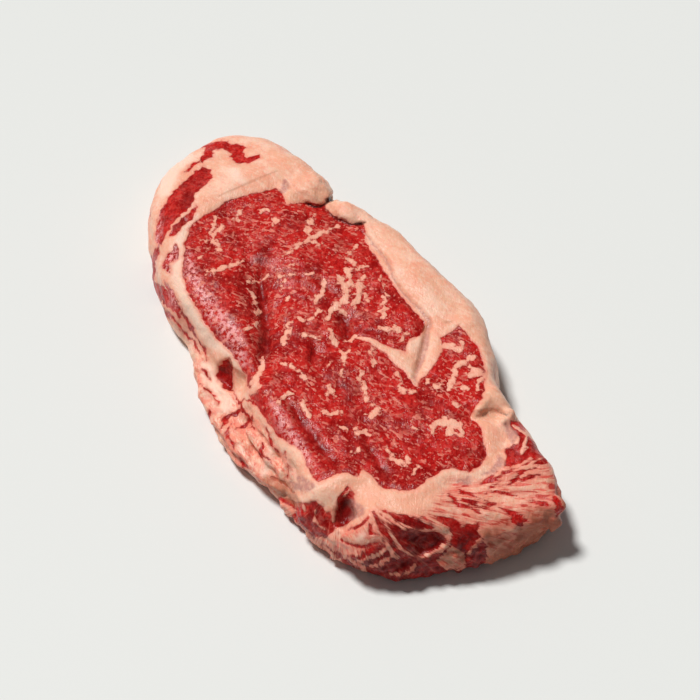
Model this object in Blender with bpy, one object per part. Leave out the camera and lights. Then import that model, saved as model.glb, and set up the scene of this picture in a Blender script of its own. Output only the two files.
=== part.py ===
"""A raw rib-eye steak, boneless, lying flat on a board.

Frame: metres, +Z up. The long axis is X, the thick outer fat cap faces +Y, and the origin is
under the middle of the finished steak, on the surface that it lies on. All sizes below are
millimetres, and places are measured from near the middle of the eye muscle; the finished solid is
moved so that its box is centred on the origin.

The body is one closed solid in three patches that share their edge loops: the cut face on top,
the wall around it and the flat underside.
"""

import math

import bmesh
import bpy
from mathutils import Vector
from mathutils import noise
from mathutils.geometry import delaunay_2d_cdt

MM = 0.001

# ---- driving sizes, mm ----
THICKNESS = 26.0          # cut face to underside, over most of the steak
FAR_END_DROP = 5.0        # the end at -X is thinner by this much
NEAR_END_DROP = 5.0       # and so is the end at +X
UNDERCUT_HEIGHT = 5.0     # the wall turns under below this height
LEDGE_HEIGHT = 12.5       # top of the fat flap that lies along the -Y side
LEDGE_BLEND = 5.0         # height over which the wall steps in above the flap
WALL_ROUNDNESS = 2.3      # superellipse power of the shoulder: 2 is a plain ellipse

# ---- mesh density ----
STATIONS = 176            # points around the outline
WALL_LEVELS = 14          # rings between the cut face and the underside
TOP_SPACING = 2.9         # mm between points of the cut face
BASE_SPACING = 9.0        # mm between points of the underside

# The widest outline, anticlockwise from the +X end: x, y, shoulder (how far in the rounded top
# edge reaches), undercut, and ledge (how far the flap sticks out).
OUTLINE = [
    (105, -5, 17, 5, 0),
    (109, 9, 14, 8, 0),
    (110, 23, 10, 10, 0),
    (105, 34, 8, 8, 0),
    (94, 39, 8, 4, 0),
    (80, 40, 8, 3, 0),
    (66, 41, 8, 3, 0),
    (55, 42, 8, 3, 0),
    (44, 47, 8, 3, 0),
    (32, 52, 9, 3, 0),
    (14, 55, 10, 3, 0),
    (-6, 52, 10, 3, 0),
    (-26, 50, 10, 3, 0),
    (-41, 45, 9, 3, 0),
    (-50, 40, 8, 3, 0),
    (-57, 37, 8, 3, 0),
    (-70, 38, 9, 3, 0),
    (-90, 36, 13, 3, 0),
    (-107, 30, 16, 3, 0),
    (-117, 15, 18, 3, 0),
    (-115, -3, 18, 3, 0),
    (-107, -19, 15, 3, 0),
    (-88, -33, 14, 3, 0),
    (-66, -42, 13, 3, 0),
    (-45, -45.5, 15, 3, 0),
    (-30, -44.5, 15, 3, 1),
    (-20, -48, 14, 3, 6),
    (-5, -52, 13, 3, 9),
    (12, -54, 11, 3, 10.5),
    (28, -53, 11, 3, 9),
    (42, -48.5, 10, 3, 6),
    (53, -45, 9, 3, 1),
    (63, -46, 8, 2, 0),
    (76, -42.5, 10, 2, 0),
    (87, -35.5, 13, 2, 0),
    (96, -27, 16, 2, 0),
    (101, -16, 17, 3, 0),
]

# Creases pressed into the cut face: a route of x, y points, then half width and depth.
CREASES = {
    "muscle_fold": ([(-32, -12), (-20, -17), (-9, -21), (5, -30)], 5.5, 3.4),
    "centre_dip": ([(2, 6), (9, 3), (12, -9)], 5.0, 1.8),
    "silver_line": ([(-33, 33), (-17, 33.5), (-8, 31.5), (2, 30.5), (17, 32), (24, 27), (36, 16)], 2.6, 1.2),
    "cap_crack_far": ([(-58, 21), (-53, 24), (-53, 29)], 3.0, 3.2),
    "cap_crack_near": ([(-50, 26.5), (-43, 27.5), (-38, 30)], 2.6, 2.2),
    "tail_fold": ([(62, 23), (65.5, 28), (68, 32)], 3.0, 2.8),
    "tail_seam": ([(84, 0), (86, 12), (80, 24), (74, 31)], 3.6, 1.5),
    "flap_root": ([(-6, -38), (4, -40), (12, -44)], 3.0, 2.5),
}

# Swellings of the cut face: centre x, y, half widths along x and y, height.
SWELLINGS = {
    "far_fat_band": (-80, 4, 8, 22, 1.6),
    "cap_lobe_far": (-61, 27, 7, 6, 2.6),
    "cap_lobe_near": (-45, 32, 7, 4, 2.2),
    "fat_cap": (-5, 39, 30, 7, 1.8),
    "cap_end_curl": (26, 43, 4, 4, 1.4),
    "fold_lip": (60, 29, 4, 6, 2.4),
    "near_fat_band": (78, -14, 7, 14, 1.6),
    "corner_fat": (64, -30, 6, 8, 1.6),
    "flank_ridge": (-22, -27, 26, 6, 1.4),
    "loin_rise": (-40, 8, 26, 16, 1.0),
}

# Hollows and bulges of the wall and its shoulder: centre x, y, z, radius, push outwards.
WALL_FORMS = {
    "pocket": ((72, -35, 24), 7.0, -9.0),
    "pocket_pillar": ((62, -44, 14), 7.0, 2.0),
    "lean_hollow": ((98, -17, 20), 9.0, -3.0),
    "glossy_knob": ((84, -37, 13), 8.0, 2.5),
    "end_fat_roll": ((106, 24, 19), 11.0, 1.5),
    "tip_overhang": ((108, 20, 4), 13.0, -4.0),
    "cap_notch": ((-54, 37, 12), 5.0, -1.5),
    "flank_cleft": ((2, -44, 16), 7.0, -4.5),
    "flap_fold_far": ((-4, -54, 6), 7.0, -1.5),
    "flap_bulge": ((22, -54, 6), 10.0, 1.2),
    "far_side_fat": ((-95, -26, 10), 14.0, 1.0),
}

# Gentle unevenness of the whole surface.
WAVE_LENGTH = 24.0
WAVE_HEIGHT = 1.0
WRINKLE_LENGTH = 9.0
WRINKLE_DEPTH = 0.9


def smooth_step(low, high, value):
    t = min(1.0, max(0.0, (value - low) / (high - low)))
    return t * t * (3 - 2 * t)


def catmull_rom(points, count):
    """Rows evenly spaced in plan along the closed smooth curve through the given rows."""
    fine = []
    steps = 24
    n = len(points)
    for i in range(n):
        rows = [points[(i + k) % n] for k in (-1, 0, 1, 2)]
        for j in range(steps):
            t = j / steps
            weights = (
                0.5 * (-t + 2 * t**2 - t**3),
                0.5 * (2 - 5 * t**2 + 3 * t**3),
                0.5 * (t + 4 * t**2 - 3 * t**3),
                0.5 * (t**3 - t**2),
            )
            fine.append([sum(w * row[c] for w, row in zip(weights, rows)) for c in range(len(rows[0]))])
    fine.append(fine[0])
    along = [0.0]
    for a, b in zip(fine, fine[1:]):
        along.append(along[-1] + math.dist(a[:2], b[:2]))
    rows, k = [], 0
    for i in range(count):
        target = along[-1] * i / count
        while along[k + 1] < target:
            k += 1
        share = (target - along[k]) / (along[k + 1] - along[k])
        rows.append([a + share * (b - a) for a, b in zip(fine[k], fine[k + 1])])
    return rows


def distance_to_route(x, y, route):
    """Distance in plan from a point to a polyline."""
    best = math.inf
    for (ax, ay), (bx, by) in zip(route, route[1:]):
        dx, dy = bx - ax, by - ay
        share = ((x - ax) * dx + (y - ay) * dy) / (dx * dx + dy * dy)
        share = min(1.0, max(0.0, share))
        best = min(best, math.hypot(x - ax - share * dx, y - ay - share * dy))
    return best


def face_height(x, y):
    """Height of the cut face above the board."""
    z = THICKNESS
    z -= FAR_END_DROP * smooth_step(-72, -112, x)
    z -= NEAR_END_DROP * smooth_step(80, 112, x)
    for route, half_width, depth in CREASES.values():
        z -= depth * math.exp(-((distance_to_route(x, y, route) / half_width) ** 2))
    for cx, cy, wide_x, wide_y, height in SWELLINGS.values():
        z += height * math.exp(-(((x - cx) / wide_x) ** 2 + ((y - cy) / wide_y) ** 2))
    place = Vector((x, y, 0)) / WAVE_LENGTH
    return z + WAVE_HEIGHT * noise.noise(place)


def inward_normals(rows):
    """Unit vectors in plan that point into the steak, one for each station."""
    n = len(rows)
    normals = []
    for i in range(n):
        ahead, behind = rows[(i + 1) % n], rows[i - 1]
        along = Vector((ahead[0] - behind[0], ahead[1] - behind[1]))
        normals.append(Vector((-along.y, along.x)).normalized())
    return normals


def wall_inset(row, share, top):
    """How far inside the widest outline the wall is, at a share of the height above the undercut."""
    shoulder, ledge = row[2], row[4]
    rounding = shoulder * (1 - (1 - share**WALL_ROUNDNESS) ** (1 / WALL_ROUNDNESS))
    z = UNDERCUT_HEIGHT + share * (top - UNDERCUT_HEIGHT)
    return rounding + ledge * smooth_step(LEDGE_HEIGHT - LEDGE_BLEND, LEDGE_HEIGHT, z)


def wall_push(x, y, z):
    """Outward shift of a wall point, from the named forms and the fine wrinkles."""
    push = 0.0
    for centre, radius, amount in WALL_FORMS.values():
        push += amount * math.exp(-((math.dist((x, y, z), centre) / radius) ** 2))
    place = Vector((x, y, 1.6 * z)) / WRINKLE_LENGTH
    fade = smooth_step(0.5, UNDERCUT_HEIGHT, z)
    return fade * (push + WRINKLE_DEPTH * noise.noise(place))


def wall_rings():
    """Closed rings of points, from the edge of the cut face down to the edge of the underside."""
    rows = catmull_rom(OUTLINE, STATIONS)
    normals = inward_normals(rows)
    rings = []
    for level in range(WALL_LEVELS):
        share = math.sin(0.5 * math.pi * (1 - level / (WALL_LEVELS - 1))) ** 0.8
        ring = []
        for row, normal in zip(rows, normals):
            edge = Vector(row[:2]) + normal * wall_inset(row, 1.0, THICKNESS)
            top = face_height(*edge)
            z = UNDERCUT_HEIGHT + share * (top - UNDERCUT_HEIGHT)
            place = Vector(row[:2]) + normal * wall_inset(row, share, top)
            place -= normal * wall_push(place.x, place.y, z)
            ring.append(Vector((place.x, place.y, z)))
        rings.append(ring)
    for lift in (0.45, 0.0):
        ring = []
        for row, normal in zip(rows, normals):
            inset = row[3] * (1 - lift) ** 2
            place = Vector(row[:2]) + normal * inset
            ring.append(Vector((place.x, place.y, lift * UNDERCUT_HEIGHT)))
        rings.append(ring)
    return rings


def inside(x, y, loop):
    """True if the point is inside the closed loop, in plan."""
    crossings = 0
    for a, b in zip(loop, loop[1:] + loop[:1]):
        if (a.y > y) != (b.y > y):
            crossings += x < a.x + (y - a.y) / (b.y - a.y) * (b.x - a.x)
    return crossings % 2 == 1


def lattice(loop, spacing):
    """Points of a triangular lattice that lie well inside the loop."""
    low_x, high_x = min(p.x for p in loop), max(p.x for p in loop)
    low_y, high_y = min(p.y for p in loop), max(p.y for p in loop)
    row_step = spacing * math.sqrt(0.75)
    clearance = 0.6 * spacing
    found = []
    for j in range(int((high_y - low_y) / row_step) + 1):
        y = low_y + j * row_step
        for i in range(int((high_x - low_x) / spacing) + 2):
            x = low_x + (i + 0.5 * (j % 2)) * spacing
            if inside(x, y, loop) and min(math.hypot(x - p.x, y - p.y) for p in loop) > clearance:
                found.append(Vector((x, y)))
    return found


def add_patch(mesh, corners, spacing, height):
    """Fills a loop of mesh vertices with triangles, with lattice points at the given height inside."""
    loop = [v.co / MM for v in corners]
    inner = lattice(loop, spacing)
    places = [p.xy for p in loop] + inner
    edges = [(i, (i + 1) % len(loop)) for i in range(len(loop))]
    triangles = delaunay_2d_cdt(places, edges, [], 1, 1e-6)[2]
    vertices = list(corners)
    vertices += [mesh.verts.new(Vector((p.x, p.y, height(p.x, p.y))) * MM) for p in inner]
    for triangle in triangles:
        mesh.faces.new([vertices[i] for i in triangle])


def build_steak():
    """Joins the wall, the cut face and the underside, and centres the solid on the origin."""
    mesh = bmesh.new()
    rings = [[mesh.verts.new(p * MM) for p in ring] for ring in wall_rings()]
    for upper, lower in zip(rings, rings[1:]):
        for i in range(STATIONS):
            j = (i + 1) % STATIONS
            mesh.faces.new((upper[i], lower[i], lower[j], upper[j]))
    add_patch(mesh, rings[0], TOP_SPACING, face_height)
    add_patch(mesh, rings[-1], BASE_SPACING, lambda x, y: 0.0)
    bmesh.ops.recalc_face_normals(mesh, faces=mesh.faces)
    bmesh.ops.triangulate(mesh, faces=mesh.faces)
    low = Vector([min(v.co[k] for v in mesh.verts) for k in range(3)])
    high = Vector([max(v.co[k] for v in mesh.verts) for k in range(3)])
    bmesh.ops.translate(mesh, verts=mesh.verts, vec=-(low + high).xy.to_3d() / 2)
    data = bpy.data.meshes.new("steak")
    mesh.to_mesh(data)
    mesh.free()
    data.shade_smooth()
    steak = bpy.data.objects.new("steak", data)
    bpy.context.scene.collection.objects.link(steak)
    return steak


def beef():
    material = bpy.data.materials.new("beef")
    material.use_nodes = True
    shader = material.node_tree.nodes["Principled BSDF"]
    shader.inputs["Base Color"].default_value = (0.36, 0.045, 0.035, 1)
    shader.inputs["Roughness"].default_value = 0.35
    shader.inputs["Metallic"].default_value = 0.0
    return material


for old in list(bpy.data.objects):
    bpy.data.objects.remove(old)
build_steak().data.materials.append(beef())
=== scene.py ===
"""Looks of a raw rib-eye steak: relief, marbling, fat, membrane and a soft studio light.

Places are millimetres measured from near the middle of the eye muscle, as in the solid's own
construction. The sides are laid out as if unrolled outwards from under the rim, so a place on a
side is given in the same plan as a place on the cut face.
"""

import bmesh
import bpy
import numpy as np
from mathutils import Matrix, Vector, noise


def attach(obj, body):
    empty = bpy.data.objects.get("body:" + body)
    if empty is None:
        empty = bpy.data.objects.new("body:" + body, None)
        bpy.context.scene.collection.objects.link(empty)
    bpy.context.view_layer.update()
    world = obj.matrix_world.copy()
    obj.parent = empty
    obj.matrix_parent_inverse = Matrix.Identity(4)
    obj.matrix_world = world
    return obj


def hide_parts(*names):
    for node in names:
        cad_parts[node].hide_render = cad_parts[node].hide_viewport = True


MM = 0.001
CENTRE = np.array([-4.78, 0.13, 0.0])     # middle of the solid's box in the places' own frame
FACE_Z = 26.0                             # height of the cut face
VOXEL = 0.68                              # mm, cell of the visual mesh
UNDERSIDE_SHARE = 0.10                    # how much of the hidden flat underside's mesh is kept
SEED_STEP = 31.7                          # offset between independent noise fields
MIDDLE_SPAN = (-62, 68)                   # ends of the steak's long middle line
TO_CAMERA = np.array([0.866, -0.5])       # plan direction of the sides that are seen
SHOULDER_DEPTH = 8.0                      # mm below the face that is still seen on the far sides
FAN_CENTRE = np.array([66.0, -34.0])      # where the fibres of the tail run together
FAN_RADIUS = 34.0                         # mm, at which the fan's fibres keep their true width
NOISE_GAIN = 1.6                          # brings the noise to about -1..1
TUBE_STEPS = 4                            # balls along each length of a fold
LAID_FLAT_BELOW = 0.45                    # mm above the board, where the mesh is laid on it
# how far a seen side is laid out per mm of depth, in x and y, and how that changes per mm of plan
SEEN_SLOPE = np.array([0.69, -0.38])
SEEN_DRIFT = 0.00204
UNSEEN_SLOPE = 0.8                        # the same for a side that is not seen, straight outwards

# mm that each feature is pressed in or raised
VALLEY_DEPTH = 1.3
SILVER_DEPTH = 0.9
SILVER_RIM_HEIGHT = 0.5
CRACK_DEPTH = 2.4
TAIL_SEAM_DEPTH = 1.2
HOLLOW_DEPTH = 3.0
CLEFT_DEPTH = 2.4
GLOSSY_DEPTH = 0.9
LUMP_HEIGHT = 0.9
EYE_EDGE_DEPTH = 0.35
STRAND_HEIGHT = 0.6
EYE_EDGE_WIDTH = 0.9                      # mm, of the groove round the eye muscle
CREASE_LEVEL = 0.75                       # value of a crease pattern that is neither up nor down

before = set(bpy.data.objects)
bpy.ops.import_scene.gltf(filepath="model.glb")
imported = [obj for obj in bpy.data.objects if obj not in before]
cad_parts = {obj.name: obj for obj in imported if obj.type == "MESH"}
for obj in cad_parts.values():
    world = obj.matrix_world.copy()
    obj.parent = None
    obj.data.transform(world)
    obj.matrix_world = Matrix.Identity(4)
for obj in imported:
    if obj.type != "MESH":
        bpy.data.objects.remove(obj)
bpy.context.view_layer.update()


# ---- fields over the surface ----

def smooth(low, high, value):
    """0 at low, 1 at high and a soft step in between."""
    t = np.clip((value - low) / (high - low), 0.0, 1.0)
    return t * t * (3 - 2 * t)


def wave(points, length, seed, stretch=(1, 1, 1)):
    """Smooth noise in about -1..1, with features of the given length in mm."""
    scaled = points * np.array(stretch) / length + seed * SEED_STEP
    return np.array([noise.noise(p) for p in scaled.tolist()]) * NOISE_GAIN


def rotated(points, degrees):
    """Points turned in plan so that the first axis runs along the given direction."""
    a = np.radians(degrees)
    turned = points.copy()
    turned[:, 0] = points[:, 0] * np.cos(a) + points[:, 1] * np.sin(a)
    turned[:, 1] = -points[:, 0] * np.sin(a) + points[:, 1] * np.cos(a)
    return turned


def line(uv, *route):
    """Signed distance to a tapered stroke, positive inside. A stop is x, y, half width."""
    best = np.full(len(uv), -99.0)
    for (ax, ay, aw), (bx, by, bw) in zip(route, route[1:]):
        a, ab = np.array([ax, ay]), np.array([bx - ax, by - ay])
        t = np.clip((uv - a) @ ab / (ab @ ab), 0.0, 1.0)
        gap = np.linalg.norm(uv - a - t[:, None] * ab, axis=1)
        best = np.maximum(best, aw + t * (bw - aw) - gap)
    return best


def patch(uv, *corners):
    """Signed distance to a polygon's edge, positive inside."""
    gap = np.full(len(uv), 99.0)
    inside = np.zeros(len(uv), bool)
    for (ax, ay), (bx, by) in zip(corners, corners[1:] + corners[:1]):
        a, ab = np.array([ax, ay]), np.array([bx - ax, by - ay])
        t = np.clip((uv - a) @ ab / (ab @ ab), 0.0, 1.0)
        gap = np.minimum(gap, np.linalg.norm(uv - a - t[:, None] * ab, axis=1))
        straddles = (ay > uv[:, 1]) != (by > uv[:, 1])
        with np.errstate(divide="ignore", invalid="ignore"):
            crossing = ax + (uv[:, 1] - ay) / (by - ay) * (bx - ax)
        inside ^= straddles & (uv[:, 0] < crossing)
    return np.where(inside, gap, -gap)


def union(*fields):
    return np.maximum.reduce(fields)


def hump(field, width):
    """1 well inside a field, 0 outside, with a soft edge of the given width."""
    return smooth(-width, width, field)


# ---- where the lean, the fat and the membranes are ----

def eye_and_cap(uv):
    return patch(
        uv,
        (-52, 27.5), (-56, 21.5), (-60, 15), (-66, 16), (-69.5, 15), (-70.5, 8), (-72, 1), (-72.5, -6),
        (-71.5, -12), (-69.5, -19), (-66.5, -25), (-61.5, -28.5), (-56, -32.5), (-49, -36), (-40, -39),
        (-30, -40), (-18, -40), (-8, -38.8), (0, -38), (7, -38.5), (13, -41), (19, -42.5), (26, -41),
        (34, -41), (41, -39.5), (46, -37), (53, -38.5), (60, -38.5), (60.5, -31), (62, -27.5),
        (65.5, -26), (63, -23), (67, -21), (73, -20.5), (77, -16), (79.5, -11), (78, -6), (77.8, 0),
        (79, 5), (83, 9), (82, 14), (79.5, 18), (74, 20.5), (69, 23), (63, 22), (60.5, 25), (58.5, 29),
        (56, 32.5), (50, 36.5), (44, 39.5), (38, 41.5), (31, 41), (26, 40.5), (27, 36), (28, 31.5),
        (33.5, 29), (36, 24), (38.8, 19), (40, 15), (43, 12), (36, 11.8), (30, 11.3), (24, 10),
        (18, 8.3), (11.5, 4), (12.5, 6.8), (17, 10.5), (22, 13.5), (27, 17), (22.5, 20.5), (22, 26),
        (20, 30), (14, 29.7), (5, 29.5), (-3, 29.5), (-8, 30), (-14, 31), (-20, 31), (-26, 31.5),
        (-31, 33.5), (-35, 35), (-37, 32), (-40, 30), (-43, 28.5), (-48, 27),
    )


def far_lean(uv):
    """Lean strips of the end at -X."""
    return union(
        patch(uv, (-95, -4), (-91, -2.5), (-87, -4.5), (-85, -9), (-82, -14.5), (-79, -15), (-77, -20),
              (-74.5, -26), (-70.5, -31.5), (-65, -37.5), (-68, -38.5), (-75, -35), (-81, -30),
              (-86, -24), (-90, -17), (-93.5, -9)),
        patch(uv, (-77, -16), (-74, -18), (-70.5, -20.5), (-69, -26), (-67, -29.5), (-67, -33),
              (-70.5, -29.5), (-73.5, -24)),
        patch(uv, (-106, -1), (-106, 3), (-103, 10), (-99, 13), (-95.5, 16), (-93.5, 13), (-90, 13),
              (-89.5, 18), (-87, 17.5), (-86.5, 12.5), (-88, 9.5), (-92, 7.5), (-95, 9), (-99, 8),
              (-100.5, 4), (-97, 1), (-96, -3), (-98, -4), (-100.5, 0), (-103, 1), (-105, -2)),
        line(uv, (-98, -3, 0.3), (-97, -8, 0.8), (-95, -12, 0.2)),
        line(uv, (-62, -32, 0.4), (-58, -36, 2.0), (-55, -40, 1.6), (-50, -41, 0.2)),
        line(uv, (-66, -38.5, 0.2), (-60, -43, 1.0), (-54, -46.5, 1.0), (-49, -49, 1.4)),
        line(uv, (-50, -49, 1.6), (-40, -47.5, 2.4), (-33, -46.5, 1.4), (-28, -47, 0.2)),
        line(uv, (-49, -44, 0.2), (-42, -45, 0.8), (-36, -44.5, 0.2)),
        line(uv, (-34, -44.7, 0.1), (-24, -45.6, 0.5), (-12, -46.2, 0.5), (-6, -48, 0.1)),
        line(uv, (-36, -51, 0.8), (-26, -49, 0.5), (-16, -48, 0.5), (-10, -48.8, 0.1)),
        line(uv, (-108, 2, 1.5), (-112, -6, 1.2), (-108, -16, 0.3)),
        line(uv, (-100, -33, 0.4), (-88, -41, 1.4), (-76, -47, 0.6)),
    )


def near_lean(uv):
    """Lean strips and shreds of the tail, at +X."""
    return union(
        patch(uv, (71, 33.5), (76, 37), (82, 38), (90, 37.5), (93, 34), (90.5, 30), (89.5, 24),
              (90, 15), (89, 9), (87.5, 12), (87.4, 20), (84, 23), (80.5, 25), (81, 30), (79, 32),
              (75, 31.5)),
        line(uv, (92, 31, 0.3), (91, 26, 0.8), (93, 21, 0.6), (94, 17, 0.2)),
        line(uv, (92, 16, 0.3), (91.5, 12, 0.8), (93, 9, 0.2)),
        line(uv, (90, 8, 0.2), (95, 13, 0.6), (100, 18, 0.6), (107, 24.5, 0.7), (108, 25, 0.2)),
        line(uv, (88, 2, 0.3), (93, 6, 0.5), (98, 9, 0.3)),
        line(uv, (96, 4, 0.4), (98, 8, 0.8), (98, 5, 0.3)),
        line(uv, (95, 20, 0.1), (94.5, 25, 0.4), (96, 30, 0.1)),
        line(uv, (100, 9, 0.3), (104, 13, 0.8), (107, 16, 0.2)),
        patch(uv, (105, 13), (109, 16), (111, 12), (107.5, 10)),
        line(uv, (87, -2.5, 0.6), (92, -1, 0.9), (96, 2, 0.8), (100, 3, 0.2)),
        line(uv, (91, 1, 0.3), (95, 3.5, 0.8), (99, 3, 0.4)),
        patch(uv, (92, -9), (96, -6), (101, -6), (102, -10), (98, -9.2), (94, -10.8)),
        # the fan of lean between the membranes at the corner
        patch(uv, (79.5, -26.5), (84, -22.5), (88, -18.5), (90, -14.5), (94, -12.8), (99, -12.6),
              (103.4, -13), (104.4, -20), (104, -26), (101, -31), (94, -32), (86, -30.3), (80, -28.8)),
        # inside the hollow, and the lean below it
        patch(uv, (66.5, -30.5), (71, -29.5), (75, -33), (79, -35), (80.5, -40), (79, -43), (74, -39.5),
              (69, -36)),
        patch(uv, (65, -47), (67, -43), (73, -40.8), (79.5, -42.5), (81, -47), (79, -51), (68, -53)),
        # the end wall
        patch(uv, (100.3, -3), (101.5, 0.5), (104, -1.5), (110, -2.5), (116, -5), (122, -20), (110, -40),
              (98, -50), (84, -54), (83, -49), (89, -46), (93, -41), (91, -36), (93, -31.5),
              (99, -30), (104, -25), (105, -15), (102.5, -11), (100.5, -8)),
        line(uv, (106.5, 28.5, 0.6), (110, 27.5, 1.6), (113, 24, 0.6)),
        line(uv, (60, -53, 0.8), (66, -49, 1.8), (70, -46, 0.8)),
        line(uv, (81.5, -31, 0.5), (82.5, -35, 0.7), (82, -39, 0.4)),
        line(uv, (84, -31.5, 0.4), (87, -33, 0.7), (89, -31.5, 0.4)),
        line(uv, (91.5, -33, 0.5), (90.5, -38, 0.8), (87, -42, 0.6), (84, -43.5, 0.4)),
    )


def near_fat(uv):
    """Fat and membrane that cross the lean of the tail."""
    return union(
        patch(uv, (104.5, -12), (109, -10), (114, -13), (112, -19), (107.5, -19.5)),
        *[line(uv, *strand) for strand in TAIL_STRANDS],
        line(uv, (79, 36, 0.4), (83, 31, 0.8), (85, 28.5, 0.6), (84.5, 32, 0.3)),
        line(uv, (88.5, 31, 0.3), (88.8, 25, 0.5), (87.5, 19, 0.7), (89, 15, 0.4)),
        line(uv, (90.5, 36, 0.3), (90, 30, 0.4), (91, 26, 0.3)),
        line(uv, (74, 33, 0.4), (78, 34.5, 0.7), (83, 37, 0.3)),
        line(uv, (94, -31, 0.6), (95.5, -36, 0.8), (94, -42, 0.7)),
        line(uv, (98, -32, 0.5), (99, -36, 0.8), (97.5, -40, 0.5)),
        line(uv, (86, -45.5, 0.8), (91, -45, 0.9), (95, -43, 1.0), (99, -42, 0.6)),
        line(uv, (84, -49.5, 0.9), (92, -48.5, 1.0), (98, -46, 0.6)),
        line(uv, (107, -2, 0.5), (109, -6, 0.8), (110, -9, 0.5)),
        line(uv, (105, -27, 0.5), (106.5, -31, 0.8), (104, -36, 0.5)),
        line(uv, (80, -29, 0.5), (80.3, -34, 0.6), (81.5, -40, 1.2), (82.5, -48, 1.2)),
        line(uv, (72, -41.5, 0.4), (66, -43, 0.6), (61, -44, 0.6)),
        line(uv, (66, -47.5, 0.5), (68.5, -48.5, 0.6)),
        line(uv, (70, -45, 0.3), (74, -47, 0.5), (78, -46, 0.2)),
        line(uv, (68.5, -31, 0.4), (69.5, -33, 0.6)),
    )


def flap_lean(uv):
    """Red threads and patches in the loose flap of fat along the -Y side."""
    return union(
        patch(uv, (-3, -40.2), (3, -41.3), (8, -43.8), (11.5, -45.6), (10.5, -47.2), (1, -47.6),
              (-0.5, -45.5), (-3, -43)),
        line(uv, (12, -45.6, 0.2), (18, -46.2, 0.5), (25, -46, 0.5), (30, -47.5, 0.2)),
        line(uv, (19, -47, 0.6), (20.5, -52, 0.9), (22, -56, 0.6), (24, -58, 0.1)),
        line(uv, (24, -46, 0.3), (27, -49, 0.7), (26, -53, 0.2)),
        line(uv, (23, -52, 0.1), (25, -55, 0.5), (29, -58, 0.2)),
        line(uv, (36, -48, 0.2), (40, -50, 0.7), (45, -49, 0.2)),
        line(uv, (38, -57.5, 0.3), (41, -57.5, 0.9), (43, -57, 0.2)),
        line(uv, (14, -57, 0.2), (16.5, -58, 0.8), (18, -58.5, 0.2)),
        line(uv, (31, -43, 0.2), (37, -44.5, 0.6), (43, -44, 0.2)),
        line(uv, (26, -56, 0.2), (30, -57, 0.7), (34, -58, 0.2)),
        line(uv, (-4, -51, 0.3), (-1, -50.5, 0.7), (3, -51, 0.2)),
        line(uv, (2, -55, 0.1), (8, -53.5, 0.4), (14, -53, 0.1)),
        line(uv, (50, -52, 0.2), (55, -49, 0.6), (60, -48, 0.2)),
        line(uv, (17, -38, 0.3), (17.5, -42, 0.6), (16, -45, 0.1)),
        line(uv, (44, -42, 0.1), (50, -44, 0.4), (54, -46, 0.1)),
    )


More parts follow.
